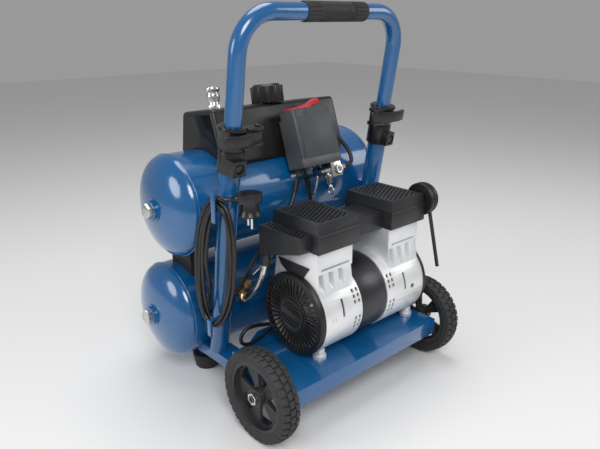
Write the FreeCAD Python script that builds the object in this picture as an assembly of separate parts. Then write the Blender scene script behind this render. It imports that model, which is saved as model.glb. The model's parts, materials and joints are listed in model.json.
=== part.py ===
import FreeCAD, Part

import math
import os

# Twin-tank workshop air compressor with a two-cylinder oil-free pump.
# Frame: X runs along the axle, the tanks and the motor shaft; -Y is the wheel side;
# +Y is the side of the air tanks; +Z is up and the floor is z = 0. Sizes in millimetres.

Vector = FreeCAD.Vector
ORIGIN = Vector(0, 0, 0)
X_AXIS = Vector(1, 0, 0)
Y_AXIS = Vector(0, 1, 0)
Z_AXIS = Vector(0, 0, 1)
SIDES = {"left": -1, "right": 1}

# Overall size and wheels
HALF_DEPTH = 224.0
WHEEL_RADIUS = 80.0
WHEEL_INNER_X = 196.0
WHEEL_WIDTH = 34.0
WINDOW_PHASE = 33.0
AXLE_RADIUS = 6.0
AXLE_Y = -HALF_DEPTH + WHEEL_RADIUS
AXLE_Z = WHEEL_RADIUS
RUNNING_CLEARANCE = 0.05

# Air tanks
TANK_RADIUS = 91.0
TANK_WALL = 3.0
TANK_HALF_CYLINDER = 211.5
TANK_HEAD_DEPTH = 37.5
TANK_BUNG_RADIUS = 17.0
TANK_BUNG_X = 255.0
TANK_PLUG_X = 264.0
TANK_PORT_RADIUS = 8.0
WELD_BEAD = 1.2
LOWER_TANK = Vector(0, HALF_DEPTH - TANK_RADIUS - WELD_BEAD, 131)
UPPER_TANK_Z = 345.0

# Leaning frame tubes and telescopic handle
LEAN_DEG = 9.0
TUBE_X = 178.4
TUBE_RADIUS = 17.5
TUBE_WALL = 2.0
TANK_STANDOFF = 119.8          # level distance from the tube centre line to a tank axis
TUBE_TOP = 466.0               # measured along the leaning tube
HANDLE_RADIUS = 14.0
HANDLE_WALL = 2.0
HANDLE_FOOT = 380.0            # lower end of the legs, along the tube
HANDLE_BAR = 675.3             # centre of the cross bar, along the tube
HANDLE_BEND = 61.0
GRIP_CENTRE_X = 13.0
GRIP_LENGTH = 139.0
GRIP_RADIUS = 16.2

# Rails and motor platform
RAIL_TOP = 80.0
RAIL_HEIGHT = 20.0
RAIL_OUTER_X = 191.0
RAIL_WIDTH = 40.0
RAIL_FRONT_Y = -112.0
SHEET = 3.0
PLATFORM_TOP = 96.7
PLATFORM_HALF_WIDTH = 184.0
PLATFORM_FRONT_Y = -197.5
PLATFORM_FLANGE = 30.0

# Motor and pump
MOTOR_Y = -107.0
MOTOR_Z = 175.5
BARREL_RADIUS = 74.0
BARREL_WALL = 3.0
FAN_COVER_RADIUS = 75.0
FAN_COVER_DEPTH = 11.0
HUB_RADIUS = 30.0
HUB_SLOT_TILT = 12.0
GRILLE_SLOTS = 40
STATOR_RADIUS = 72.0
STATOR_X = (-13.5, 54.0)
LEFT_CASE_X = (-102.5, -13.5)
RIGHT_CASE_X = (54.0, 159.0)
SHAFT_RADIUS = 6.0
BLOCK_Y = (-158.0, -56.0)
BLOCK_Z = (260.5, 298.0)
BLOCK_WIDTH = 83.0
LEFT_BLOCK_X = -102.5
RIGHT_BLOCK_X = 76.0
BORE_RADIUS = 25.0
HEAD_WIDTH = 96.0
HEAD_Y = (-164.0, -50.0)
HEAD_SEAM_Z = 332.0
HEAD_TOP_Z = 350.5
LEFT_HEAD_X = -105.0
RIGHT_HEAD_X = 75.0

# Console, pressure switch
CONSOLE_X = (-144.0, 152.0)
CONSOLE_WALL = 3.0
CONSOLE_REAR_TOP = (62.5, 509.0)
CONSOLE_USER_TOP = (156.5, 495.0)
CONSOLE_USER_FOOT = (170.0, 400.0)
CONSOLE_REAR_FOOT = (28.0, 412.0)
SWITCH_TILT_DEG = -18.0
SWITCH_FOOT = Vector(33, -34.5, 404.5)
SWITCH_SIZE = (96.0, 46.0, 91.5)
SWITCH_BASE_HEIGHT = 15.5
ROCKER_PIVOT = 11.0            # height of the rocker's pin above the cover's shoulder
ROCKER_PIN = 1.8


# ---------------------------------------------------------------- shape helpers

def box(x_range, y_range, z_range):
    """Block between three pairs of limits."""
    size = [limits[1] - limits[0] for limits in (x_range, y_range, z_range)]
    return Part.makeBox(*size, Vector(x_range[0], y_range[0], z_range[0]))


def rod(start, axis, radius, length):
    """Solid cylinder from start along axis."""
    return Part.makeCylinder(radius, length, start, axis)


def pipe(start, axis, outer, inner, length):
    """Hollow cylinder from start along axis."""
    return rod(start, axis, outer, length).cut(rod(start, axis, inner, length))


def hexagon(start, axis, across_flats, length):
    """Hexagonal prism from start along axis."""
    corner = across_flats / math.sqrt(3)
    ring = [Vector(corner * math.cos(math.radians(a)), corner * math.sin(math.radians(a)), 0)
            for a in range(0, 361, 60)]
    prism = Part.Face(Part.makePolygon(ring)).extrude(Z_AXIS * length)
    return aimed(prism, start, axis)


def slab(corners, axis, start, end):
    """Prism of a closed outline; corners are the two coordinates across the given axis."""
    if axis == "x":
        points = [Vector(start, a, b) for a, b in corners]
        push = X_AXIS
    elif axis == "y":
        points = [Vector(a, start, b) for a, b in corners]
        push = Y_AXIS
    else:
        points = [Vector(a, b, start) for a, b in corners]
        push = Z_AXIS
    outline = Part.makePolygon(points + points[:1])
    return Part.Face(outline).extrude(push * (end - start))


def lathe(profile, start, axis):
    """Solid of revolution; profile points are (radius, distance along the axis)."""
    points = [Vector(radius, 0, along) for radius, along in profile]
    face = Part.Face(Part.makePolygon(points + points[:1]))
    return aimed(face.revolve(ORIGIN, Z_AXIS, 360), start, axis)


def aimed(shape, start, axis):
    """Takes a shape built on the Z axis and stands it on start, pointing along axis."""
    shape.Placement = FreeCAD.Placement(start, FreeCAD.Rotation(Z_AXIS, axis))
    return shape


def join(shapes):
    """One solid out of touching shapes."""
    whole = shapes[0].fuse(shapes[1:])
    return whole.removeSplitter()


def group(shapes):
    """Several separate solids that share a node."""
    return Part.makeCompound(shapes)


def mirrored(shape):
    """The same piece on the other side of the middle plane."""
    return shape.mirror(ORIGIN, X_AXIS)


def polar(radius, degrees):
    """Two coordinates of a point on a circle."""
    angle = math.radians(degrees)
    return radius * math.cos(angle), radius * math.sin(angle)


def route(points, bend_radius=None):
    """Straight runs joined by tangent arcs.

    Without a bend radius each corner takes 0.45 of its shorter run. Returns the wire and the radii.
    """
    edges = []
    radii = []
    start = points[0]
    for before, corner, after in zip(points, points[1:], points[2:]):
        back = before - corner
        ahead = after - corner
        half_turn = (math.pi - back.getAngle(ahead)) / 2
        radius = bend_radius or 0.45 * min(back.Length, ahead.Length) / math.tan(half_turn)
        setback = radius * math.tan(half_turn)
        back.normalize()
        ahead.normalize()
        inward = (back + ahead).normalize()
        arc_start = corner + back * setback
        arc_end = corner + ahead * setback
        arc_middle = corner + inward * (radius / math.cos(half_turn) - radius)
        edges.append(Part.makeLine(start, arc_start))
        edges.append(Part.Arc(arc_start, arc_middle, arc_end).toShape())
        radii.append(radius)
        start = arc_end
    edges.append(Part.makeLine(start, points[-1]))
    return Part.Wire(edges), radii


def swept(wire, radius, direction):
    """Round bar of the given radius along a wire that starts in the given direction."""
    first = wire.OrderedVertexes[0].Point
    ring = Part.Wire(Part.makeCircle(radius, first, direction))
    return Part.Solid(wire.makePipeShell([ring], True, True))


def cord(name, points, radius):
    """Cord, hose or thin tube along hand-chosen points; prints its bends and checks its volume."""
    wire, radii = route(points)
    solid = swept(wire, radius, points[1] - points[0])
    expected = math.pi * radius ** 2 * wire.Length
    print(name, "length %.0f" % wire.Length, "bend radii", ["%.0f" % r for r in radii],
          "volume / expected %.3f" % (solid.Volume / expected))
    return solid


# ---------------------------------------------------------------- leaning frame

LEAN = math.radians(LEAN_DEG)
TUBE_FOOT_Y = LOWER_TANK.y - TANK_STANDOFF + LOWER_TANK.z * math.tan(LEAN)
UPPER_TANK = Vector(0, TUBE_FOOT_Y + TANK_STANDOFF - UPPER_TANK_Z * math.tan(LEAN), UPPER_TANK_Z)
LEAN_FRAME = FreeCAD.Placement(Vector(0, TUBE_FOOT_Y, 0), FreeCAD.Rotation(X_AXIS, LEAN_DEG))
TANKS = (LOWER_TANK, UPPER_TANK)


def leaned(shape):
    """Takes a shape built upright round the tube line and leans it with the frame."""
    shape.Placement = LEAN_FRAME.multiply(shape.Placement)
    return shape


def tube_y(z):
    """Y of the tube centre line at a height."""
    return TUBE_FOOT_Y - z * math.tan(LEAN)


def tank_body(tank, radius=TANK_RADIUS):
    """Long cylinder on a tank's axis, for trimming what touches it."""
    return rod(Vector(-300, tank.y, tank.z), X_AXIS, radius, 600)


def frame_tube(side):
    centre = Vector(side * TUBE_X, 0, 60)
    tube = leaned(pipe(centre, Z_AXIS, TUBE_RADIUS, TUBE_RADIUS - TUBE_WALL, TUBE_TOP - 60))
    return tube.cut(box((-300, 300), (-300, 300), (0, RAIL_TOP)))


def cord_hook(tab_x, tab_y, strap_z, tab_z):
    """Flat strap from the left tube's front to an upright tab that holds the wound cord."""
    start_y = tube_y(strap_z[0])
    strap = slab([(-178, start_y - 12), (-190, start_y - 4), (-200, tab_y + 4), (tab_x, tab_y + 4),
                  (tab_x, tab_y - 4), (-198, tab_y - 4)], "z", *strap_z)
    tab = box((tab_x - 3, tab_x), (tab_y - 4.5, tab_y + 4.5), tab_z)
    return join([strap, tab])


def left_frame_tube():
    """The left tube carries the two welded cord hooks, one pointing up and one down."""
    hooks = [cord_hook(-219, -44, (365.5, 368.5), (350, 403)),
             cord_hook(-224, -23.5, (169, 172), (142, 172))]
    bore = leaned(rod(Vector(-TUBE_X, 0, 60), Z_AXIS, TUBE_RADIUS - TUBE_WALL, TUBE_TOP - 60))
    return join([frame_tube(-1)] + [hook.cut(bore) for hook in hooks])


def side_rail():
    """Right-hand rail: an inverted channel welded against the lower tank."""
    x_range = (RAIL_OUTER_X - RAIL_WIDTH, RAIL_OUTER_X)
    z_range = (RAIL_TOP - RAIL_HEIGHT, RAIL_TOP)
    rail = box(x_range, (RAIL_FRONT_Y, 75), z_range)
    hollow = box((x_range[0] + SHEET, x_range[1] - SHEET), (RAIL_FRONT_Y, 75),
                 (z_range[0], z_range[1] - SHEET))
    return rail.cut(hollow).cut(tank_body(LOWER_TANK))


def side_rails():
    return group([mirrored(side_rail()), side_rail()])


def motor_platform():
    """Folded tray with a front flange, stepped side flanges and chamfered rear corners."""
    half = PLATFORM_HALF_WIDTH
    front = PLATFORM_FRONT_Y
    top = PLATFORM_TOP
    tray = slab([(-half, front), (half, front), (half, -28), (150, -28), (105, 0),
                 (-105, 0), (-150, -28), (-half, -28)], "z", top - SHEET, top)
    front_flange = box((-half, half), (front, front + SHEET), (top - PLATFORM_FLANGE, top))
    rear_lip = box((-105, 105), (-SHEET, 0), (top - 14, top))
    flange_outline = [(front, 66.7), (RAIL_FRONT_Y, 66.7), (RAIL_FRONT_Y, RAIL_TOP),
                      (-28, RAIL_TOP), (-28, top), (front, top)]
    flange = slab(flange_outline, "x", half - SHEET, half)
    flange = flange.fuse(rod(Vector(half - SHEET, AXLE_Y, AXLE_Z), X_AXIS, 15, SHEET))
    whole = join([tray, front_flange, rear_lip, flange, mirrored(flange)])
    return whole.cut(rod(Vector(-300, AXLE_Y, AXLE_Z), X_AXIS, AXLE_RADIUS, 600))


def axle():
    """Axle with a welded collar outside each side flange and a hexagon socket in each end."""
    half = WHEEL_INNER_X + WHEEL_WIDTH + 4
    bar = rod(Vector(-half, AXLE_Y, AXLE_Z), X_AXIS, AXLE_RADIUS, 2 * half)
    collar_length = WHEEL_INNER_X + 1.5 - PLATFORM_HALF_WIDTH
    collar = rod(Vector(PLATFORM_HALF_WIDTH, AXLE_Y, AXLE_Z), X_AXIS, 9, collar_length)
    whole = join([bar, collar, mirrored(collar)])
    socket = hexagon(Vector(half - 6, AXLE_Y, AXLE_Z), X_AXIS, 6, 7)
    return whole.cut(socket).cut(mirrored(socket))


def axle_nut():
    start = Vector(WHEEL_INNER_X + WHEEL_WIDTH - 3.5, AXLE_Y, AXLE_Z)
    return hexagon(start, X_AXIS, 19, 6).cut(rod(start, X_AXIS, AXLE_RADIUS, 6))


# ---------------------------------------------------------------- wheels

def tyre():
    """Right-hand tyre; the section has a flat tread and rounded shoulders."""
    half = WHEEL_WIDTH / 2
    profile = [(61, -half + 3), (61, half - 3), (66, half), (74, half), (78.5, half - 3.5),
               (80, half - 8), (80, -half + 8), (78.5, -half + 3.5), (74, -half), (66, -half)]
    middle = Vector(WHEEL_INNER_X + half, AXLE_Y, AXLE_Z)
    return lathe(profile, middle, X_AXIS)


def rim():
    """Right-hand rim: bead ring, web with five windows, five ribs and a long hub."""
    half = WHEEL_WIDTH / 2
    middle = Vector(WHEEL_INNER_X + half, AXLE_Y, AXLE_Z)
    ring = pipe(middle - X_AXIS * (half - 3), X_AXIS, 61, 55, WHEEL_WIDTH - 6)
    web = pipe(middle - X_AXIS * 2, X_AXIS, 56, 10, 5)
    hub = rod(middle - X_AXIS * (half - 2), X_AXIS, 15, WHEEL_WIDTH - 6)
    window = slab([polar(18, -18), polar(50, -19), polar(52, 0), polar(50, 19), polar(18, 18)],
                  "x", -10, 10)
    rib = box((-8, 2), (14, 56), (-3, 3))
    spokes = []
    for index in range(5):
        turn = FreeCAD.Rotation(X_AXIS, 72 * index + WINDOW_PHASE)
        turned_window = window.copy()
        turned_window.Placement = FreeCAD.Placement(middle, turn)
        web = web.cut(turned_window)
        turned_rib = rib.copy()
        rib_turn = FreeCAD.Rotation(X_AXIS, 72 * index + WINDOW_PHASE + 36)
        turned_rib.Placement = FreeCAD.Placement(middle, rib_turn)
        spokes.append(turned_rib)
    whole = join([ring, web, hub] + spokes)
    return whole.cut(rod(middle - X_AXIS * 30, X_AXIS, AXLE_RADIUS + RUNNING_CLEARANCE, 60))


# ---------------------------------------------------------------- air tanks

def capsule(radius, half_cylinder, head_depth):
    """Cylinder with two half-ellipsoid heads, along X through the origin."""
    head = Part.Ellipse(Vector(half_cylinder, radius, 0), Vector(half_cylinder + head_depth, 0, 0),
                        Vector(half_cylinder, 0, 0))
    quarter = Part.ArcOfEllipse(head, 0, math.pi / 2).toShape()
    ends = sorted((vertex.Point for vertex in quarter.Vertexes), key=lambda point: point.y)
    middle_top = Vector(0, radius, 0)
    outline = Part.Wire([Part.makeLine(middle_top, ends[1]), quarter,
                         Part.makeLine(ends[0], ORIGIN), Part.makeLine(ORIGIN, middle_top)])
    half = Part.Face(outline).revolve(ORIGIN, X_AXIS, 360)
    return half.fuse(half.mirror(ORIGIN, X_AXIS))


def tank(centre, extras, ports):
    """Welded shell: extras are added to the outside and ports are bored through the wall."""
    outer = capsule(TANK_RADIUS, TANK_HALF_CYLINDER, TANK_HEAD_DEPTH)
    seam = Part.makeTorus(TANK_RADIUS - 0.3, WELD_BEAD + 0.3, Vector(TANK_HALF_CYLINDER, 0, 0), X_AXIS)
    bung_start = TANK_HALF_CYLINDER + TANK_HEAD_DEPTH - 8
    bung = rod(Vector(bung_start, 0, 0), X_AXIS, TANK_BUNG_RADIUS, TANK_BUNG_X - bung_start)
    collar = rod(Vector(bung_start, 0, 0), X_AXIS, TANK_BUNG_RADIUS + 4, 9)
    outside = [seam, bung, collar]
    shell = outer.fuse(outside + [shape.mirror(ORIGIN, X_AXIS) for shape in outside])
    inner = capsule(TANK_RADIUS - TANK_WALL, TANK_HALF_CYLINDER, TANK_HEAD_DEPTH - TANK_WALL)
    for shape in (shell, inner):
        shape.translate(centre)
    end_port = rod(Vector(-300, centre.y, centre.z), X_AXIS, TANK_PORT_RADIUS, 600)
    return join([shell] + extras).cut([inner, end_port] + ports)


def tube_lug(centre, side):
    """Short welded block between a tank and a frame tube."""
    x_range = (side * TUBE_X - 9, side * TUBE_X + 9)
    along = centre.z * math.cos(LEAN) - (centre.y - TUBE_FOOT_Y) * math.sin(LEAN)
    lug = leaned(box(x_range, (10, 40), (along - 13, along + 13)))
    tube = leaned(rod(Vector(side * TUBE_X, 0, 0), Z_AXIS, TUBE_RADIUS, 600))
    return lug.cut(tube)


LINK_PIPE_X = 60.0
DRAIN_X = 0.0
LINK_PIPE_RADIUS = 6.0
DRAIN_RADIUS = 7.0
FOOT_POSITION = (153.0, 102.5)
FOOT_HEIGHT = 30.0
CHECK_VALVE_BASE = Vector(-112, 40, 169)
CHECK_VALVE_AXIS = Vector(0, -0.62, 0.785)
MANIFOLD_STUB_Z = 378.0
MANIFOLD_X = 64.0
DISCHARGE_MUFFLER_ELBOW = Vector(-124, -56, 269)
DISCHARGE_ROUTE = [Vector(-131, -53, 238), Vector(-132, -40, 212), Vector(-131, -22, 194),
                   Vector(-127, -4, 178)]
DISCHARGE_VALVE_ELBOW = Vector(-121, 21, 165)


def link_bore(radius):
    start = Vector(LINK_PIPE_X, LOWER_TANK.y, LOWER_TANK.z)
    middle = UPPER_TANK - LOWER_TANK
    reach = middle.Length
    return rod(start + middle * ((TANK_RADIUS - 12) / reach), middle, radius,
               reach - 2 * (TANK_RADIUS - 12))


def upper_tank():
    lugs = [tube_lug(UPPER_TANK, side) for side in SIDES.values()]
    stub = rod(Vector(MANIFOLD_X, 8, MANIFOLD_STUB_Z), Y_AXIS, 12, 30)
    stub_bore = rod(Vector(MANIFOLD_X, 0, MANIFOLD_STUB_Z), Y_AXIS, 7, 60)
    return tank(UPPER_TANK, lugs + [stub], [link_bore(LINK_PIPE_RADIUS), stub_bore])


def lower_tank():
    extras = [tube_lug(LOWER_TANK, side) for side in SIDES.values()]
    for side in SIDES.values():
        foot = Vector(side * FOOT_POSITION[0], FOOT_POSITION[1], FOOT_HEIGHT)
        extras.append(rod(foot, Z_AXIS, 16, 24))
    extras.append(rod(CHECK_VALVE_BASE - CHECK_VALVE_AXIS * 26, CHECK_VALVE_AXIS, 13, 26))
    drain = rod(Vector(DRAIN_X, LOWER_TANK.y, 30), Z_AXIS, DRAIN_RADIUS, 20)
    valve = rod(CHECK_VALVE_BASE - CHECK_VALVE_AXIS * 45, CHECK_VALVE_AXIS, 7, 50)
    return tank(LOWER_TANK, extras, [link_bore(LINK_PIPE_RADIUS), drain, valve])


def tank_plug(centre, side):
    """Hexagon plug screwed into a tank's end bung."""
    face = Vector(side * TANK_BUNG_X, centre.y, centre.z)
    outward = X_AXIS * side
    head = hexagon(face, outward, 24, TANK_PLUG_X - TANK_BUNG_X)
    shank = rod(face - outward * 14, outward, TANK_PORT_RADIUS, 14)
    return join([head, shank])


def tank_plugs():
    return group([tank_plug(centre, side) for centre in TANKS for side in SIDES.values()])


def tank_spacer(side):
    """Block that fills the gap between the tanks near one end."""
    middle = (UPPER_TANK + LOWER_TANK) * 0.5
    x_range = (165, 190) if side > 0 else (-190, -165)
    block = box(x_range, (middle.y - 32, middle.y + 32), (middle.z - 30, middle.z + 30))
    return block.cut([tank_body(centre) for centre in TANKS])


def tank_link_pipe():
    return link_bore(LINK_PIPE_RADIUS).cut(link_bore(LINK_PIPE_RADIUS - 1.5))


def rubber_foot(side):
    start = Vector(side * FOOT_POSITION[0], FOOT_POSITION[1], 0)
    return lathe([(0, 0), (21, 0), (23, 2), (28, FOOT_HEIGHT - 3), (27, FOOT_HEIGHT), (0, FOOT_HEIGHT)],
                 start, Z_AXIS)


def drain_valve():
    """Brass seat under the lower tank; its bore takes the drain screw."""
    start = Vector(DRAIN_X, LOWER_TANK.y, 46)
    shank = rod(start, Z_AXIS * -1, DRAIN_RADIUS, 8)
    body = hexagon(Vector(start.x, start.y, 39.5), Z_AXIS * -1, 17, 9)
    seat = join([shank, body])
    return seat.cut(rod(start, Z_AXIS * -1, 3 + RUNNING_CLEARANCE, 30))


def drain_screw():
    """Knurled screw that lets the condensate out."""
    top = Vector(DRAIN_X, LOWER_TANK.y, 44)
    shank = rod(top, Z_AXIS * -1, 3, 16)
    knob = rod(top - Z_AXIS * 15, Z_AXIS * -1, 9, 9)
    wing = box((DRAIN_X - 13, DRAIN_X + 13), (LOWER_TANK.y - 2, LOWER_TANK.y + 2), (22, 28))
    return join([shank, knob, wing])


def tube_nut(elbow, toward):
    """Ball of an elbow and its nut, in line with the first run of the tube; returns shape and end."""
    run = (toward - elbow).normalize()
    nut = hexagon(elbow, run, 16, 14)
    return join([Part.makeSphere(7.5, elbow), nut]), elbow + run * 14


def check_valve():
    """Non-return valve with a hexagon cap, screwed into the lower tank's bung."""
    axis = CHECK_VALVE_AXIS
    shank = rod(CHECK_VALVE_BASE - axis * 14, axis, 7, 16)
    body = rod(CHECK_VALVE_BASE, axis, 10.5, 20)
    cap = hexagon(CHECK_VALVE_BASE + axis * 19, axis, 21, 13)
    inlet_start = CHECK_VALVE_BASE + axis * 9
    inlet = rod(inlet_start, DISCHARGE_VALVE_ELBOW - inlet_start, 6.5,
                (DISCHARGE_VALVE_ELBOW - inlet_start).Length)
    nut, _ = tube_nut(DISCHARGE_VALVE_ELBOW, DISCHARGE_ROUTE[-1])
    return join([shank, body, cap, inlet, nut])


# ---------------------------------------------------------------- handle and clamps

def handle_tube():
    """U-shaped telescopic tube."""
    corners = [Vector(-TUBE_X, 0, HANDLE_FOOT), Vector(-TUBE_X, 0, HANDLE_BAR),
               Vector(TUBE_X, 0, HANDLE_BAR), Vector(TUBE_X, 0, HANDLE_FOOT)]
    wire, _ = route(corners, HANDLE_BEND)
    outer = swept(wire, HANDLE_RADIUS, Z_AXIS)
    inner = swept(wire, HANDLE_RADIUS - HANDLE_WALL, Z_AXIS)
    return leaned(outer.cut(inner))


def handle_grip():
    """Ribbed rubber sleeve on the cross bar."""
    start = GRIP_CENTRE_X - GRIP_LENGTH / 2
    sleeve = rod(Vector(start, 0, HANDLE_BAR), X_AXIS, GRIP_RADIUS - 0.8, GRIP_LENGTH)
    bands = [(start, 34), (start + GRIP_LENGTH - 34, 34)]
    bands += [(start + 40 + 8.2 * index, 4.5) for index in range(8)]
    rings = [rod(Vector(x, 0, HANDLE_BAR), X_AXIS, GRIP_RADIUS, length) for x, length in bands]
    bore = rod(Vector(start, 0, HANDLE_BAR), X_AXIS, HANDLE_RADIUS, GRIP_LENGTH)
    return leaned(join([sleeve] + rings).cut(bore))


CLAMP_FOOT = 432.0
CLAMP_COLLAR = 474.0
CLAMP_TOP = 506.0
LEVER_RANGE = (480.8, 499.6)
PIN_INWARD = 38.0
PIN_Y = -14.0


def clamp_sleeve(side):
    """Plastic sleeve on the frame tube with a split collar round the handle tube."""
    x = side * TUBE_X
    inward = -side
    guide = HANDLE_RADIUS + 0.3
    boss_range = (x - 16 + 3 * side, x + 7 + side)
    lower = rod(Vector(x, 0, CLAMP_FOOT), Z_AXIS, 21.5, TUBE_TOP - CLAMP_FOOT + 2)
    neck = rod(Vector(x, 0, TUBE_TOP), Z_AXIS, 19.5, 10)
    collar = rod(Vector(x, 0, CLAMP_COLLAR), Z_AXIS, 22.5, CLAMP_TOP - CLAMP_COLLAR)
    flange = rod(Vector(x, 0, CLAMP_TOP - 5), Z_AXIS, 24.5, 3)
    boss = box(boss_range, (-33, 0), (CLAMP_FOOT + 2, CLAMP_FOOT + 27))
    lug_x = sorted((x + inward * 14, x + inward * (PIN_INWARD + 7)))
    lugs = [box(lug_x, (-22, -5), z_range)
            for z_range in ((CLAMP_COLLAR, LEVER_RANGE[0] - 0.5), (LEVER_RANGE[1] + 0.4, CLAMP_TOP))]
    body = join([lower, neck, collar, flange, boss] + lugs)
    tube_socket = rod(Vector(x, 0, CLAMP_FOOT), Z_AXIS, TUBE_RADIUS, TUBE_TOP - CLAMP_FOOT)
    handle_bore = rod(Vector(x, 0, CLAMP_FOOT), Z_AXIS, guide, 100)
    slit_x = sorted((x + inward * 12, x + inward * 60))
    slit = box(slit_x, (-4.5, -1.5), (CLAMP_COLLAR, CLAMP_TOP))
    pin_hole = rod(Vector(x + inward * PIN_INWARD, PIN_Y, CLAMP_COLLAR), Z_AXIS, 3, 40)
    bolt_x = sum(boss_range) / 2
    bolt_hole = rod(Vector(bolt_x, -34, CLAMP_FOOT + 14), Y_AXIS, 4, 16.5)
    bolt_pocket = rod(Vector(bolt_x, -34, CLAMP_FOOT + 14), Y_AXIS, 8.5, 6)
    return leaned(body.cut([tube_socket, handle_bore, slit, pin_hole, bolt_hole, bolt_pocket]))


def clamp_lever(side):
    """Cam lever that wraps round the front of the split collar."""
    x = side * TUBE_X
    inward = -side
    pivot_x = x + inward * PIN_INWARD
    outline = [(44, -20), (30, -27), (8, -33.5), (-14, -33.5), (-31, -29), (-33, -25), (-31, -22),
               (-14, -26.5), (6, -26.5), (24, -20), (34, -8), (42, -9)]
    arm = slab([(x + inward * a, b) for a, b in outline], "z", *LEVER_RANGE)
    cam = rod(Vector(pivot_x, PIN_Y, LEVER_RANGE[0]), Z_AXIS, 8.5, LEVER_RANGE[1] - LEVER_RANGE[0])
    hole = rod(Vector(pivot_x, PIN_Y, LEVER_RANGE[0]), Z_AXIS, 3 + RUNNING_CLEARANCE, 30)
    return leaned(join([arm, cam]).cut(hole))


def clamp_fasteners(side):
    """Lever pin and the hexagon bolt of the lower sleeve."""
    x = side * TUBE_X
    pin_x = x - side * PIN_INWARD
    pin = rod(Vector(pin_x, PIN_Y, CLAMP_COLLAR), Z_AXIS, 3, CLAMP_TOP - CLAMP_COLLAR)
    head = rod(Vector(pin_x, PIN_Y, CLAMP_TOP), Z_AXIS, 5, 2.5)
    bolt_seat = Vector(x - 4.5 + 2 * side, -28, CLAMP_FOOT + 14)
    bolt = rod(bolt_seat, Y_AXIS, 4, 10)
    bolt_head = hexagon(bolt_seat, Y_AXIS * -1, 13, 4)
    return [leaned(join([pin, head])), leaned(join([bolt, bolt_head]))]


def clamp_bolts():
    return group(clamp_fasteners(-1) + clamp_fasteners(1))


# ---------------------------------------------------------------- motor and pump

def motor_rod(x_range, radius):
    """Cylinder on the motor's axis."""
    return rod(Vector(x_range[0], MOTOR_Y, MOTOR_Z), X_AXIS, radius, x_range[1] - x_range[0])


def motor_pipe(x_range, outer, inner):
    return motor_rod(x_range, outer).cut(motor_rod(x_range, inner))


def crankcase(x_range, outer_end, block_x, slot_x, hole_x, vent_x):
    """Cast case: barrel with a bulkhead and bearing, cylinder block above, ribs, slots and vents."""
    into = 1 if outer_end < sum(x_range) / 2 else -1
    front = BLOCK_Y[0]
    block_range = (block_x, block_x + BLOCK_WIDTH)
    centre_x = block_x + BLOCK_WIDTH / 2
    rear = BLOCK_Y[1]
    block = box(block_range, BLOCK_Y, BLOCK_Z)
    skirt = slab([(front, BLOCK_Z[0]), (rear, BLOCK_Z[0]), (rear + 6, 222), (MOTOR_Y, 200),
                  (front - 6, 222)], "x", block_x, block_x + BLOCK_WIDTH - 3)
    recesses = []
    for index in range(3):
        left = block_x + 3 + 23 * index
        outline = [(left, BLOCK_Z[0] - 1), (left + 11, BLOCK_Z[0] - 1), (left + 11, 224), (left, 240)]
        recesses.append(slab(outline, "y", front - 20, front + 21))
        recesses.append(slab(outline, "y", rear - 21, rear + 20))
    barrel = motor_rod(x_range, BARREL_RADIUS)
    whole = join([block, skirt.cut(recesses), barrel])
    inside = motor_rod((x_range[0] - 1, x_range[1] + 1), BARREL_RADIUS - BARREL_WALL)
    cylinder = rod(Vector(centre_x, MOTOR_Y, MOTOR_Z), Z_AXIS, BORE_RADIUS, 140)
    slot = box((slot_x - 2.5, slot_x + 2.5), (-200, -160), (180, 211))
    hole = rod(Vector(hole_x, -200, 181), Y_AXIS, 4.5, 40)
    vents = [box((vent_x + column, vent_x + column + 5), (-200, -150), (z, z + 6.5))
             for column in (-8, 2) for z in (147, 156, 165, 194, 203, 212)]
    block_slot = box((centre_x - 32, centre_x + 36), (front - 1, front + 12), (264.5, 268.5))
    bulkhead_start = outer_end + into * 18
    bulkhead_range = sorted((bulkhead_start, bulkhead_start + into * 6))
    bearing_range = sorted((bulkhead_start, bulkhead_start + into * 14))
    bulkhead = join([motor_rod(bulkhead_range, BARREL_RADIUS - 1), motor_rod(bearing_range, 17)])
    hollow = whole.cut([inside, cylinder, slot, hole, block_slot] + vents)
    bearing_bore = motor_rod((x_range[0], x_range[1]), SHAFT_RADIUS + RUNNING_CLEARANCE)
    return join([hollow, bulkhead]).cut(bearing_bore)


def fan_cover(outer_x, inner_x):
    """Black grille: rounded cup with tapered radial slots and a raised hub with two sets of slots."""
    into = 1 if inner_x > outer_x else -1
    profile = [(0, 0), (67, 0), (72, 1.5), (FAN_COVER_RADIUS, 5), (FAN_COVER_RADIUS, FAN_COVER_DEPTH),
               (69, FAN_COVER_DEPTH), (69, 4), (0, 4)]
    start = Vector(outer_x, MOTOR_Y, MOTOR_Z)
    outward = X_AXIS * -into
    cup = lathe(profile, start, X_AXIS * into)
    hub = rod(start - outward, outward, HUB_RADIUS, 3.5).cut(
        rod(start + outward * 1.2, outward, HUB_RADIUS - 3, 3))
    slots = []
    for index in range(GRILLE_SLOTS):
        slot = slab([(34, -1.5), (62, -3.3), (65, -1.8), (65, 1.8), (62, 3.3), (34, 1.5)], "x", -6, 8)
        turn = FreeCAD.Rotation(X_AXIS, 360 / GRILLE_SLOTS * index)
        slot.Placement = FreeCAD.Placement(start, turn)
        slots.append(slot)
    for row in (-19, -13.5, -8, 8, 13.5, 19):
        reach = math.sqrt(24.5 ** 2 - row ** 2)
        slot = box((-6, 6), (-reach, reach), (row - 1.3, row + 1.3))
        slot.Placement = FreeCAD.Placement(start, FreeCAD.Rotation(X_AXIS, HUB_SLOT_TILT))
        slots.append(slot)
    return join([cup, hub]).cut(slots)


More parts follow.
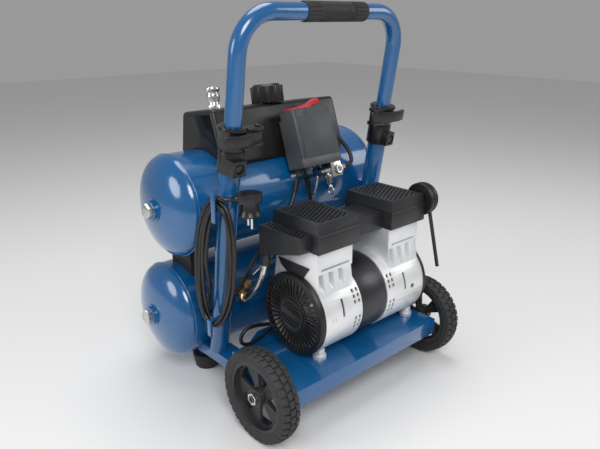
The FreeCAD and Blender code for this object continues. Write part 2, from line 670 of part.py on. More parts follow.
def left_fan_cover():
    """The left grille also carries the air guide plate under the block."""
    outer_x = LEFT_CASE_X[0] - FAN_COVER_DEPTH
    plate = slab([(-141, 268), (-124, 244), (-100, 240), (-72, 256), (-64, 268)], "x",
                 LEFT_CASE_X[0] - 2.5, LEFT_CASE_X[0])
    plate = plate.cut(motor_rod((-200, 0), FAN_COVER_RADIUS - 2))
    return join([fan_cover(outer_x, LEFT_CASE_X[0]), plate])


def stator_core():
    """Laminated ring between the two cases."""
    return motor_pipe(STATOR_X, STATOR_RADIUS, 31)


LEFT_BORE_X = LEFT_BLOCK_X + BLOCK_WIDTH / 2
RIGHT_BORE_X = RIGHT_BLOCK_X + BLOCK_WIDTH / 2
CRANK_THROW = 5.0


def motor_rotor():
    """Shaft with the rotor core, two cooling fans and two opposed eccentrics."""
    shaft = motor_rod((-101, 158), SHAFT_RADIUS)
    core = motor_rod((STATOR_X[0] + 4, STATOR_X[1] - 4), 30)
    pieces = [shaft, core]
    for start, bore_x, throw in ((-99, LEFT_BORE_X, CRANK_THROW), (146, RIGHT_BORE_X, -CRANK_THROW)):
        pieces.append(motor_rod((start - 1, start + 11), 16))
        for index in range(12):
            blade = box((0, 10), (14, 60), (-1, 1))
            centre = Vector(start, MOTOR_Y, MOTOR_Z)
            blade.Placement = FreeCAD.Placement(centre, FreeCAD.Rotation(X_AXIS, 30 * index))
            pieces.append(blade)
        crank_start = Vector(bore_x - 5, MOTOR_Y, MOTOR_Z + throw)
        pieces.append(rod(crank_start, X_AXIS, 12, 10))
    return join(pieces)


def piston(bore_x, height):
    """Piston cup with its rod; the big end clears the whole sweep of the eccentric."""
    crown = rod(Vector(bore_x, MOTOR_Y, height), Z_AXIS, BORE_RADIUS - 0.2, 14)
    big_end = rod(Vector(bore_x - 4, MOTOR_Y, MOTOR_Z), X_AXIS, 23.5, 8)
    shank = box((bore_x - 4, bore_x + 4), (MOTOR_Y - 7, MOTOR_Y + 7), (MOTOR_Z + 20, height + 2))
    sweep = rod(Vector(bore_x - 5, MOTOR_Y, MOTOR_Z), X_AXIS, 12 + CRANK_THROW + 0.5, 10)
    return join([crown, big_end, shank]).cut(sweep)


def pistons():
    return group([piston(LEFT_BORE_X, 262), piston(RIGHT_BORE_X, 250)])


def diagonal_grooves(x_range, y_range, top, pitch, width, depth):
    """Slanting grooves cut into a flat top, inside a margin."""
    margin = 6
    field = box((x_range[0] + margin, x_range[1] - margin), (y_range[0] + margin, y_range[1] - margin),
                (top - depth, top + 1))
    centre = Vector(sum(x_range) / 2, sum(y_range) / 2, 0)
    count = int(130 / pitch)
    bars = []
    for index in range(-count // 2, count // 2 + 1):
        bar = box((-100, 100), (index * pitch - width / 2, index * pitch + width / 2),
                  (top - depth, top + 1))
        bar.Placement = FreeCAD.Placement(centre, FreeCAD.Rotation(Z_AXIS, 28))
        bars.append(bar)
    return Part.makeCompound(bars).common(field)


def head_cover(x_start):
    """Valve and silencer cover: lower body with a ribbed lid."""
    x_range = (x_start, x_start + HEAD_WIDTH)
    lower = box(x_range, HEAD_Y, (BLOCK_Z[1], HEAD_SEAM_Z))
    lid_x = (x_range[0] + 1, x_range[1] - 2)
    lid_y = (HEAD_Y[0] + 1.5, HEAD_Y[1] - 1.5)
    lid = box(lid_x, lid_y, (HEAD_SEAM_Z, HEAD_TOP_Z))
    right_top = [edge for edge in lid.Edges
                 if edge.BoundBox.XMin > lid_x[1] - 0.1 and edge.BoundBox.ZMin > HEAD_TOP_Z - 0.1]
    lid = lid.makeFillet(8, right_top)
    seam = box((x_range[0] - 1, x_range[1] + 1), (HEAD_Y[0] - 1, HEAD_Y[0] + 0.8),
               (HEAD_SEAM_Z - 6, HEAD_SEAM_Z - 4.8))
    grooves = diagonal_grooves((lid_x[0], lid_x[1] - 8), lid_y, HEAD_TOP_Z, 7.4, 3.4, 3)
    return join([lower.cut(seam), lid]).cut(grooves)


def muffler_box():
    """Outlet silencer on the left of the left head; it is deeper towards the tanks."""
    x_range = (-133.0, LEFT_HEAD_X)
    body = slab([(-148, 301.5), (-148, 328), (-46, 328), (-46, 272)], "x", *x_range)
    corner = [edge for edge in body.Edges if edge.BoundBox.XMax < x_range[0] + 0.1]
    body = body.makeFillet(3, corner)
    grooves = diagonal_grooves((x_range[0], x_range[1] + 3), (-148, -46), 328, 7.4, 3.4, 2.5)
    outlet = rod(DISCHARGE_MUFFLER_ELBOW, Z_AXIS, 7, 20)
    nut, _ = tube_nut(DISCHARGE_MUFFLER_ELBOW, DISCHARGE_ROUTE[0])
    return join([body.cut(grooves), outlet, nut])


def air_duct():
    """Cast passage that joins the two heads."""
    duct = box((LEFT_HEAD_X + HEAD_WIDTH, RIGHT_HEAD_X), (-143, -77), (BLOCK_Z[1] - 1, 329))
    return duct


FILTER_CENTRE = Vector(RIGHT_HEAD_X + HEAD_WIDTH, -150, 334)


def intake_filter():
    """Ribbed round intake silencer on the right head, with a straight tail pipe."""
    profile = [(0, 0), (29, 0), (31, 2), (31, 6), (28.5, 7), (28.5, 9), (31, 10), (31, 14), (28.5, 15),
               (28.5, 17), (30, 18), (28, 22), (22, 24.5), (0, 26)]
    drum = lathe(profile, FILTER_CENTRE, X_AXIS)
    pipe_top = Vector(180, -168, 318)
    pipe_foot = Vector(194, -186, 203)
    tail = pipe_foot - pipe_top
    return join([drum, rod(pipe_top, tail, 3.5, tail.Length)]).cut(
        rod(pipe_foot - tail * 0.3, tail, 2.2, tail.Length * 0.4))


def motor_feet():
    """Four stepped mounts between the platform and the cases."""
    mounts = []
    for x in (-83, 156):
        for y in (MOTOR_Y - 39, MOTOR_Y + 39):
            foot = Vector(x, y, PLATFORM_TOP)
            mount = join([rod(foot, Z_AXIS, 12, 7), rod(foot, Z_AXIS, 9, 35)])
            mounts.append(mount.cut(motor_rod((-200, 200), FAN_COVER_RADIUS)))
    return group(mounts)


# ---------------------------------------------------------------- console

def console_outline(inset=0.0):
    """Wedge section in the YZ plane, moved inward by the wall thickness."""
    rear_top, user_top = CONSOLE_REAR_TOP, CONSOLE_USER_TOP
    user_foot, rear_foot = CONSOLE_USER_FOOT, CONSOLE_REAR_FOOT
    return [(rear_top[0] + inset, rear_top[1] - inset), (user_top[0] - inset, user_top[1] - inset),
            (user_foot[0] - inset, user_foot[1] + inset), (rear_foot[0] + inset, rear_foot[1] + inset)]


def console_block(inset, radius):
    block = slab(console_outline(inset), "x", CONSOLE_X[0] + inset, CONSOLE_X[1] - inset)
    return block.makeFillet(radius, block.Edges)


TOP_SLOPE = math.atan2(CONSOLE_REAR_TOP[1] - CONSOLE_USER_TOP[1],
                       CONSOLE_USER_TOP[0] - CONSOLE_REAR_TOP[0])
TOP_NORMAL = Vector(0, math.sin(TOP_SLOPE), math.cos(TOP_SLOPE))
USER_LEAN = math.atan2(CONSOLE_USER_FOOT[0] - CONSOLE_USER_TOP[0],
                       CONSOLE_USER_TOP[1] - CONSOLE_USER_FOOT[1])
USER_NORMAL = Vector(0, math.cos(USER_LEAN), math.sin(USER_LEAN))
TOP_ROW_Y = 84.5
KNOB_X = 0.0
COUPLER_X = -121.0
GAUGE_X = 50.0
GAUGE_Z = 464.0
GAUGE_RADIUS = 21.0
NEEDLE_PIN = 1.0


def on_top(x):
    """Point on the sloping top, in the row of the knob and the coupler."""
    drop = (TOP_ROW_Y - CONSOLE_REAR_TOP[0]) * math.tan(TOP_SLOPE)
    return Vector(x, TOP_ROW_Y, CONSOLE_REAR_TOP[1] - drop)


def on_user_face(x):
    """Point on the face with the gauges."""
    down = CONSOLE_USER_TOP[1] - GAUGE_Z
    return Vector(x, CONSOLE_USER_TOP[0] + down * math.tan(USER_LEAN), GAUGE_Z)


def console_housing():
    """Moulded shell that sits astride the upper tank."""
    shell = console_block(0, 8).cut(console_block(CONSOLE_WALL, 5.5))
    openings = [tank_body(UPPER_TANK, TANK_RADIUS + 1),
                rod(on_top(KNOB_X) - TOP_NORMAL * 20, TOP_NORMAL, 11, 40),
                rod(on_top(COUPLER_X) - TOP_NORMAL * 20, TOP_NORMAL, 8.5, 40)]
    for x in (-GAUGE_X, GAUGE_X):
        openings.append(rod(on_user_face(x) - USER_NORMAL * 20, USER_NORMAL, GAUGE_RADIUS, 40))
    last_run = CONSOLE_HOSE[-1] - CONSOLE_HOSE[-2]
    openings.append(rod(CONSOLE_HOSE[-2], last_run, HOSE_RADIUS + 0.1, 2 * last_run.Length))
    return shell.cut(openings)


def gauge_case(x):
    """Round case with a bezel, a recessed dial and a boss for the needle."""
    profile = [(0, -18), (GAUGE_RADIUS, -18), (GAUGE_RADIUS, 0), (GAUGE_RADIUS + 2.5, 0),
               (GAUGE_RADIUS + 2.5, 4), (GAUGE_RADIUS - 1, 5.5), (GAUGE_RADIUS - 1.5, 0.5), (0, 0.5)]
    spindle = rod(on_user_face(x), USER_NORMAL, NEEDLE_PIN, 2.6)
    return join([lathe(profile, on_user_face(x), USER_NORMAL), spindle])


def gauge_cases():
    return group([gauge_case(-GAUGE_X), gauge_case(GAUGE_X)])


def needle(x):
    """Pointer of a gauge, resting at the low end of its scale."""
    hub = rod(Vector(0, 0, 0.8), Z_AXIS, 2.6, 1.6)
    pointer = slab([(-1.2, -5), (1.2, -5), (0.5, 15.5), (-0.5, 15.5)], "z", 1.2, 2.2)
    pointer.Placement = FreeCAD.Placement(ORIGIN, FreeCAD.Rotation(Z_AXIS, 135))
    shape = join([hub, pointer]).cut(rod(ORIGIN, Z_AXIS, NEEDLE_PIN + RUNNING_CLEARANCE, 5))
    upright = FreeCAD.Rotation(X_AXIS, -90 + math.degrees(USER_LEAN))
    shape.Placement = FreeCAD.Placement(on_user_face(x), upright)
    return shape


def regulator_body():
    """Brass regulator under the console top with the knob's spindle."""
    base = on_top(KNOB_X)
    neck = rod(base - TOP_NORMAL * 26, TOP_NORMAL, 11, 26.3)
    body = rod(base - TOP_NORMAL * 40, TOP_NORMAL, 17, 34)
    spindle = rod(base, TOP_NORMAL, 4, 20)
    return join([body, neck, spindle])


def regulator_knob():
    """Large knob with ten deep flutes round a chamfered cap."""
    start = on_top(KNOB_X) + TOP_NORMAL
    cap = lathe([(0, 0), (27, 0), (28.5, 2), (27.5, 30), (23, 34), (0, 34)], start, TOP_NORMAL)
    upright = FreeCAD.Rotation(Z_AXIS, TOP_NORMAL)
    lobes = []
    for index in range(10):
        lobe = Part.makeCylinder(5.5, 30, Vector(*polar(26, 36 * index + 18), 0))
        lobe.Placement = FreeCAD.Placement(start, upright).multiply(lobe.Placement)
        lobes.append(lobe)
    bore = rod(start - TOP_NORMAL, TOP_NORMAL, 4 + RUNNING_CLEARANCE, 21)
    return join([cap] + lobes).cut(bore)


COUPLER_BORE = 5.1


def coupler_body():
    """Quick coupler: hexagon foot, barrel and the bore that takes a hose nipple."""
    base = on_top(COUPLER_X)
    shank = rod(base - TOP_NORMAL * 18, TOP_NORMAL, 8.5, 18)
    foot = hexagon(base, TOP_NORMAL, 19, 7)
    barrel = rod(base + TOP_NORMAL * 7, TOP_NORMAL, 9.2, 31)
    bore = rod(base + TOP_NORMAL * 14, TOP_NORMAL, COUPLER_BORE, 30)
    return join([shank, foot, barrel]).cut(bore)


def coupler_sleeve():
    """Sliding sleeve that releases the nipple when it is pushed down."""
    start = on_top(COUPLER_X) + TOP_NORMAL * 13
    outline = [(9.25, 0), (11, 0), (11, 5), (12, 6), (12, 12), (11, 13), (11, 17), (13.5, 20),
               (13.5, 24), (9.25, 24)]
    return lathe(outline, start, TOP_NORMAL)


# ---------------------------------------------------------------- pressure switch group

SWITCH_FRAME = FreeCAD.Placement(SWITCH_FOOT, FreeCAD.Rotation(X_AXIS, SWITCH_TILT_DEG))


def tilted(shape):
    """Takes a shape built upright on the switch's front lower edge and tilts it."""
    shape.Placement = SWITCH_FRAME.multiply(shape.Placement)
    return shape


def switch_point(x, y, z):
    """A point of the switch's own frame, in the compressor's frame."""
    return SWITCH_FRAME.multVec(Vector(x, y, z))


SWITCH_DOWN = SWITCH_FRAME.Rotation.multVec(Z_AXIS * -1)


def rounded_column(width, depth, z_range, radius):
    """Upright box with rounded corners, centred on X with its front on Y = 0."""
    column = box((-width / 2, width / 2), (0, depth), z_range)
    upright = [edge for edge in column.Edges if edge.BoundBox.ZLength > z_range[1] - z_range[0] - 0.1]
    return column.makeFillet(radius, upright)


GLANDS = ((-32.5, 37), (-27.5, 14))


def switch_base():
    """Switch base plate with two cable glands underneath."""
    width, depth, _ = SWITCH_SIZE
    plate = rounded_column(width, depth, (0, SWITCH_BASE_HEIGHT), 3)
    glands = []
    for x, y in GLANDS:
        glands.append(hexagon(Vector(x, y, 0), Z_AXIS * -1, 14, 6))
        glands.append(rod(Vector(x, y, -6), Z_AXIS * -1, 6, 7))
    return tilted(join([plate] + glands))


def switch_cover():
    """Tall cover with grooved corners, a raised rim and a recess for the rocker."""
    width, depth, height = SWITCH_SIZE
    cover = rounded_column(width, depth, (SWITCH_BASE_HEIGHT, height), 3)
    rim = rounded_column(width - 4, depth - 8, (height, height + 14), 3)
    rim.translate(Vector(0, 4, 0))
    recess = box((-43, 43), (17, 39), (height - 4, height + 15))
    grooves = [box((x - 0.9, x + 0.9), (-1, 0.9), (SWITCH_BASE_HEIGHT - 1, height + 1))
               for x in (-width / 2 + 5, -width / 2 + 9)]
    posts = [rod(Vector(x, 4.5, height - 1), Z_AXIS, 2.6, 16) for x in (-36, -11)]
    body = join([cover, rim] + posts).cut([recess] + grooves)
    pivot = rod(Vector(0, 15, height + ROCKER_PIVOT), Y_AXIS, ROCKER_PIN, 25.5)
    return tilted(join([body, pivot]))


def switch_rocker():
    """Red on-off rocker; its right end is up while the switch is off."""
    height = SWITCH_SIZE[2]
    outline = [(-40, height + 18), (-8, height + 20.5), (18, height + 26), (32, height + 32),
               (38, height + 28), (38, height + 22), (16, height + 19), (8, height + 4),
               (-8, height + 4), (-12, height + 16), (-40, height + 15)]
    bore = rod(Vector(0, 15, height + ROCKER_PIVOT), Y_AXIS, ROCKER_PIN + RUNNING_CLEARANCE, 25)
    return tilted(slab(outline, "y", 19, 37).cut(bore))


MANIFOLD_LOCAL_X = MANIFOLD_X - SWITCH_FOOT.x
MANIFOLD_Y = (2, 28)
MANIFOLD_Z = (-27, 0)
VALVE_TOP = switch_point(-16 + MANIFOLD_LOCAL_X, 12, -22)


def manifold():
    """Steel block under the switch: front port ring, side fitting, stub to the tank."""
    x = MANIFOLD_LOCAL_X
    block = box((x - 13, x + 13), MANIFOLD_Y, MANIFOLD_Z)
    ring = pipe(Vector(x + 3, MANIFOLD_Y[0], -15), Y_AXIS * -1, 9, 5, 5)
    side_nut = hexagon(Vector(x + 13, 12, -12), X_AXIS, 13, 6)
    side_fitting = rod(Vector(x + 19, 12, -12), X_AXIS, 6, 9)
    nipple = rod(Vector(x - 24, 12, -14), X_AXIS, 6, 12)
    unloader = rod(Vector(x - 34, 12, -14), X_AXIS, 4.5, 12)
    head = tilted(join([block, ring, side_nut, side_fitting, nipple, unloader]))
    stub = rod(Vector(MANIFOLD_X, -22, MANIFOLD_STUB_Z), Y_AXIS, 7, 37)
    return join([head, stub])


def safety_valve():
    """Safety valve hanging from the manifold's left side."""
    body = rod(VALVE_TOP, SWITCH_DOWN, 7, 16)
    nut = hexagon(VALVE_TOP, SWITCH_DOWN, 15, 6)
    stem = rod(VALVE_TOP + SWITCH_DOWN * 16, SWITCH_DOWN, 2, 5.5)
    bracket = tilted(rod(Vector(MANIFOLD_LOCAL_X - 16, 12, -22), Z_AXIS, 5, 3))
    valve = join([body, nut, stem, bracket])
    return valve.cut(manifold())


def safety_ring():
    """Pull ring that lifts the safety valve."""
    centre = VALVE_TOP + SWITCH_DOWN * 30
    ring = Part.makeTorus(7, 1.2, centre, X_AXIS)
    collar = pipe(VALVE_TOP + SWITCH_DOWN * 19, SWITCH_DOWN, 4, 2 + RUNNING_CLEARANCE, 5)
    return join([ring, collar])


# ---------------------------------------------------------------- hoses and cords

CONSOLE_HOSE = [Vector(92, -26.8, 389.4), Vector(113, -26.8, 389.4), Vector(133, -10, 399),
                Vector(139, 14, 420), Vector(130, 38, 440)]
DISCHARGE_TUBE = ([tube_nut(DISCHARGE_MUFFLER_ELBOW, DISCHARGE_ROUTE[0])[1]] + DISCHARGE_ROUTE
                  + [tube_nut(DISCHARGE_VALVE_ELBOW, DISCHARGE_ROUTE[-1])[1]])
UNLOADER_TUBE = [Vector(32, -19, 378), Vector(26, -19, 352), Vector(16, -14, 322),
                 Vector(-8, -8, 288), Vector(-40, 0, 256), Vector(-72, 8, 228), Vector(-98, 18, 205)]
MOTOR_CABLE = [Vector(6, -17, 379), Vector(12, -20, 352), Vector(15, -20, 312), Vector(10, -16, 268),
               Vector(0, -14, 222), Vector(-14, -14, 176), Vector(-44, -18, 136), Vector(-84, -24, 112),
               Vector(-122, -30, 101.5), Vector(-152, -36, 101.5), Vector(-175, -40, 114),
               Vector(-172, -42, 136), Vector(-148, -42, 142), Vector(-112, -44, 132)]
MAINS_CORD = [Vector(0, 4, 371), Vector(-8, 0, 350), Vector(-28, -5, 320), Vector(-60, -8, 290),
              Vector(-102, -5, 259), Vector(-121, 6, 216), Vector(-136, 24, 170),
              Vector(-160, 34, 152), Vector(-188, 30, 152), Vector(-203, 14, 168),
              Vector(-206, 3, 192)]
PLUG_LEAD = [Vector(-212.5, -36, 392), Vector(-214.3, -53.5, 391.5), Vector(-209, -62.5, 390.3),
             Vector(-196.6, -67, 390)]
HOSE_RADIUS = 4.0
DISCHARGE_RADIUS = 6.0
UNLOADER_RADIUS = 2.5
MOTOR_CABLE_RADIUS = 3.5
CORD_RADIUS = 3.5

# The wound cord lies in an upright plane turned about Z so that its rear side clears the tank head.
HANK_MIDDLE = Vector(-213.8, -30.5, 269.5)
HANK_TURN_DEG = 12.6
HANK_THICKNESS = 11.0
HANK_SKEW = 11.0               # the top hangs forward and the bottom rearward, from hook to hook
HANK_OUTSIDE = (-1.5, 45.0, 118.3)
HANK_INSIDE = (-4.25, 21.2, 105.0)


def hank_outline(middle, half_width, half_height):
    """Closed smooth outline round the hank, leaning from the lower hook to the upper one."""
    points = []
    for index in range(36):
        across, up = polar(1, 10 * index)
        height = math.copysign(half_height * abs(up) ** 0.85, up)
        points.append(Vector(0, middle + half_width * across - HANK_SKEW * up, height))
    curve = Part.BSplineCurve()
    curve.interpolate(points, PeriodicFlag=True)
    return Part.Face(Part.Wire(curve.toShape())).extrude(X_AXIS * HANK_THICKNESS)


def cord_hank():
    """Closed solid with the outer shape of the wound cord; the hooks stand in its opening."""
    ring = hank_outline(*HANK_OUTSIDE).cut(hank_outline(*HANK_INSIDE))
    ring.translate(X_AXIS * (-HANK_THICKNESS / 2))
    ring.Placement = FreeCAD.Placement(HANK_MIDDLE, FreeCAD.Rotation(Z_AXIS, HANK_TURN_DEG)).multiply(
        ring.Placement)
    return ring


PLUG_START = Vector(-216, -60, 390)
PLUG_AXIS = Vector(0.935, -0.34, -0.08)


def mains_plug():
    """Angled two-pin plug: flat arm, round face with two pins pointing down."""
    turn = math.degrees(math.atan2(PLUG_AXIS.y, PLUG_AXIS.x))
    relief = Part.makeCone(4, 6.5, 8, Vector(21, 0, 0), X_AXIS)
    arm = slab([(26, -7), (34, -15), (48, -19), (60, -14), (66, -5), (66, 5), (60, 14), (48, 19),
                (34, 15), (26, 7)], "z", -7.5, 7.5)
    face = lathe([(0, 0), (18, 0), (19, 1.5), (15.5, 9), (14.5, 18), (14.5, 25), (0, 25)],
                 Vector(46, 0, -30), Z_AXIS)
    pins = [rod(Vector(46, y, -49), Z_AXIS, 2.4, 20) for y in (-9.5, 9.5)]
    plug = join([relief, arm, face] + pins)
    plug.Placement = FreeCAD.Placement(PLUG_START, FreeCAD.Rotation(Z_AXIS, turn))
    return plug


# ---------------------------------------------------------------- write the nodes

def all_nodes():
    """Every node by name."""
    nodes = {
        "frame_tube_left": left_frame_tube(),
        "frame_tube_right": frame_tube(1),
        "side_rails": side_rails(),
        "motor_platform": motor_platform(),
        "axle": axle(),
        "axle_nuts": group([mirrored(axle_nut()), axle_nut()]),
        "rubber_feet": group([rubber_foot(-1), rubber_foot(1)]),
        "tank_upper": upper_tank(),
        "tank_lower": lower_tank(),
        "tank_plugs": tank_plugs(),
        "tank_spacers": group([tank_spacer(-1), tank_spacer(1)]),
        "tank_link_pipe": tank_link_pipe(),
        "drain_valve": drain_valve(),
        "drain_screw": drain_screw(),
        "check_valve": check_valve(),
        "handle_tube": handle_tube(),
        "handle_grip": handle_grip(),
        "clamp_bolts": clamp_bolts(),
        "console_housing": console_housing(),
        "gauge_cases": gauge_cases(),
        "needle_tank": needle(-GAUGE_X),
        "needle_outlet": needle(GAUGE_X),
        "regulator_body": regulator_body(),
        "regulator_knob": regulator_knob(),
        "coupler_body": coupler_body(),
        "coupler_sleeve": coupler_sleeve(),
        "switch_base": switch_base(),
        "switch_cover": switch_cover(),
        "switch_rocker": switch_rocker(),
        "manifold": manifold(),
        "safety_valve": safety_valve(),
        "safety_ring": safety_ring(),
        "stator_core": stator_core(),
        "crankcase_left": crankcase(LEFT_CASE_X, LEFT_CASE_X[0], LEFT_BLOCK_X, -59, -82, -24),
        "crankcase_right": crankcase(RIGHT_CASE_X, RIGHT_CASE_X[1], RIGHT_BLOCK_X, 105, 126, 68),
        "head_cover_left": head_cover(LEFT_HEAD_X),
        "head_cover_right": head_cover(RIGHT_HEAD_X),
        "muffler_box": muffler_box(),
        "air_duct": air_duct(),
        "fan_cover_left": left_fan_cover(),
        "fan_cover_right": fan_cover(RIGHT_CASE_X[1] + FAN_COVER_DEPTH, RIGHT_CASE_X[1]),
        "motor_rotor": motor_rotor(),
        "pistons": pistons(),
        "motor_feet": motor_feet(),
        "intake_filter": intake_filter(),
        "console_hose": cord("console_hose", CONSOLE_HOSE, HOSE_RADIUS),
        "discharge_tube": cord("discharge_tube", DISCHARGE_TUBE, DISCHARGE_RADIUS),
        "unloader_tube": cord("unloader_tube", UNLOADER_TUBE, UNLOADER_RADIUS),
        "motor_cable": cord("motor_cable", MOTOR_CABLE, MOTOR_CABLE_RADIUS),
        "mains_cord": group([cord("mains_cord", MAINS_CORD, CORD_RADIUS),
                             cord("plug_lead", PLUG_LEAD, CORD_RADIUS)]),
        "cord_hank": cord_hank(),
        "mains_plug": mains_plug(),
    }
    for name, side in SIDES.items():
        nodes["clamp_sleeve_" + name] = clamp_sleeve(side)
        nodes["clamp_lever_" + name] = clamp_lever(side)
        nodes["tyre_" + name] = tyre() if side > 0 else mirrored(tyre())
        nodes["rim_" + name] = rim() if side > 0 else mirrored(rim())
    return nodes


os.makedirs("parts", exist_ok=True)
for node_name, node_shape in all_nodes().items():
    if not node_shape.isValid():
        print("INVALID", node_name)
    node_shape.exportStep("parts/%s.step" % node_name)
    bounds = node_shape.BoundBox
    print("%-18s solids %d  x %.1f..%.1f  y %.1f..%.1f  z %.1f..%.1f" % (
        node_name, len(node_shape.Solids), bounds.XMin, bounds.XMax, bounds.YMin, bounds.YMax,
        bounds.ZMin, bounds.ZMax))
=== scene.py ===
import contextlib
import json
import math

import bmesh
import bpy
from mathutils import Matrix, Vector


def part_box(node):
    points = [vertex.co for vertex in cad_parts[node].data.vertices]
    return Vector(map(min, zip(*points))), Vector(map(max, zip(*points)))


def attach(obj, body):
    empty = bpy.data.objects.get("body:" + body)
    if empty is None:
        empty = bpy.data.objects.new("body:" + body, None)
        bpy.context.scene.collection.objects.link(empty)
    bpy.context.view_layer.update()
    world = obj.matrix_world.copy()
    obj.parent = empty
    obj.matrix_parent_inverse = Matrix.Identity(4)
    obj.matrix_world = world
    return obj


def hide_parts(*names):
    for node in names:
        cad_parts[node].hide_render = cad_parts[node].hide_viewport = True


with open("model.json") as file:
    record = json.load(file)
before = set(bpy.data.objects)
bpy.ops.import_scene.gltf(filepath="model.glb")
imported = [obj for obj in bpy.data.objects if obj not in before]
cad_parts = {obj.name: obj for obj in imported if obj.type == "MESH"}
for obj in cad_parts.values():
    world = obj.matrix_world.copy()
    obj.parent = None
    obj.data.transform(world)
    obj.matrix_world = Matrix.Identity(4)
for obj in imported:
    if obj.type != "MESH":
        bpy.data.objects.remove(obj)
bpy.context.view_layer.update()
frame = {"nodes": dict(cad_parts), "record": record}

# Lengths are in millimetres, as in the part's source, and are turned into metres by MM.
MM = 0.001
NODE_BODY = {node: body for body, nodes in frame["record"]["behaviour"]["bodies"].items()
             for node in nodes}

CAMERA_PLACE_M = (-0.7298, -0.8026, 0.6598)
CAMERA_DOWN_DEG = 19.034
CAMERA_HEADING_DEG = -42.455
CAMERA_LENS = 36.22
CAMERA_SENSOR = 36
FLOOR_REACH_M = 6.0
SKY_STRENGTH = 0.32
LAMP_AIM_M = Vector((0, 0, 0.3))


# ---------------------------------------------------------------- materials

def new_material(name, color, metallic, roughness, coat=0.0):
    """Material with a Principled shader; returns it with its node tree and shader."""
    material = bpy.data.materials.new(name)
    material.use_nodes = True
    shader = material.node_tree.nodes["Principled BSDF"]
    shader.inputs["Base Color"].default_value = (*color, 1)
    shader.inputs["Metallic"].default_value = metallic
    shader.inputs["Roughness"].default_value = roughness
    shader.inputs["Coat Weight"].default_value = coat
    shader.inputs["Coat Roughness"].default_value = 0.08
    return material, material.node_tree, shader


def object_coordinates(tree, scale=(1, 1, 1)):
    """Object coordinates in metres, scaled unevenly for the lines of a brushed finish."""
    coordinates = tree.nodes.new("ShaderNodeTexCoord")
    mapping = tree.nodes.new("ShaderNodeMapping")
    mapping.inputs["Scale"].default_value = scale
    tree.links.new(coordinates.outputs["Object"], mapping.inputs["Vector"])
    return mapping.outputs["Vector"]


def noise(tree, vector, scale, detail=3.0):
    """Cloudy texture; returns its factor."""
    texture = tree.nodes.new("ShaderNodeTexNoise")
    texture.inputs["Scale"].default_value = scale
    texture.inputs["Detail"].default_value = detail
    tree.links.new(vector, texture.inputs["Vector"])
    return texture.outputs["Fac"]


def add_bump(tree, shader, height, strength, distance):
    """Bumps the surface with a texture; distance is in metres."""
    bump = tree.nodes.new("ShaderNodeBump")
    bump.inputs["Strength"].default_value = strength
    bump.inputs["Distance"].default_value = distance
    tree.links.new(height, bump.inputs["Height"])
    tree.links.new(bump.outputs["Normal"], shader.inputs["Normal"])


def vary_roughness(tree, shader, factor, low, high):
    """Drives the roughness between two values with a texture."""
    spread = tree.nodes.new("ShaderNodeMapRange")
    spread.inputs["From Min"].default_value = 0.3
    spread.inputs["From Max"].default_value = 0.7
    spread.inputs["To Min"].default_value = low
    spread.inputs["To Max"].default_value = high
    tree.links.new(factor, spread.inputs["Value"])
    tree.links.new(spread.outputs["Result"], shader.inputs["Roughness"])


def vary_tone(tree, shader, factor, color, dark, light):
    """Drives the base colour with a texture between a darker and a lighter tone of it."""
    ramp = tree.nodes.new("ShaderNodeValToRGB")
    for element, position, brightness in zip(ramp.color_ramp.elements, (0.35, 0.65), (dark, light)):
        element.position = position
        element.color = (*(channel * brightness for channel in color), 1)
    tree.links.new(factor, ramp.inputs["Fac"])
    tree.links.new(ramp.outputs["Color"], shader.inputs["Base Color"])


def powder_coat(name, color, roughness):
    """Glossy powder coat: orange peel and faint patches of gloss."""
    material, tree, shader = new_material(name, color, 0.0, roughness, coat=1.0)
    vector = object_coordinates(tree)
    add_bump(tree, shader, noise(tree, vector, 420, 2), strength=0.12, distance=0.0004)
    vary_roughness(tree, shader, noise(tree, vector, 9), roughness - 0.05, roughness + 0.07)
    vary_tone(tree, shader, noise(tree, vector, 6), color, 0.93, 1.06)
    return material


def moulded_plastic(name, color, roughness, grain=900):
    """Moulded plastic: spark-eroded grain, and slightly uneven tone and gloss."""
    material, tree, shader = new_material(name, color, 0.0, roughness)
    vector = object_coordinates(tree)
    add_bump(tree, shader, noise(tree, vector, grain, 4), strength=0.35, distance=0.0003)
    vary_roughness(tree, shader, noise(tree, vector, 25), roughness - 0.06, roughness + 0.08)
    vary_tone(tree, shader, noise(tree, vector, 14), color, 0.85, 1.15)
    return material


def cast_metal(name, color, roughness):
    """Blasted die casting: fine grain over broad, faint flow marks."""
    material, tree, shader = new_material(name, color, 0.55, roughness)
    vector = object_coordinates(tree)
    add_bump(tree, shader, noise(tree, vector, 1400, 4), strength=0.3, distance=0.00025)
    vary_roughness(tree, shader, noise(tree, vector, 40), roughness - 0.06, roughness + 0.08)
    vary_tone(tree, shader, noise(tree, vector, 18), color, 0.94, 1.03)
    return material


def brushed_metal(name, color, roughness, scale, metallic=1.0):
    """Turned, drawn or plated metal: one fine texture for relief, gloss and tone."""
    material, tree, shader = new_material(name, color, metallic, roughness)
    lines = noise(tree, object_coordinates(tree, scale), 1, 5)
    add_bump(tree, shader, lines, strength=0.18, distance=0.0002)
    vary_roughness(tree, shader, lines, roughness - 0.08, roughness + 0.1)
    vary_tone(tree, shader, lines, color, 0.85, 1.05)
    return material


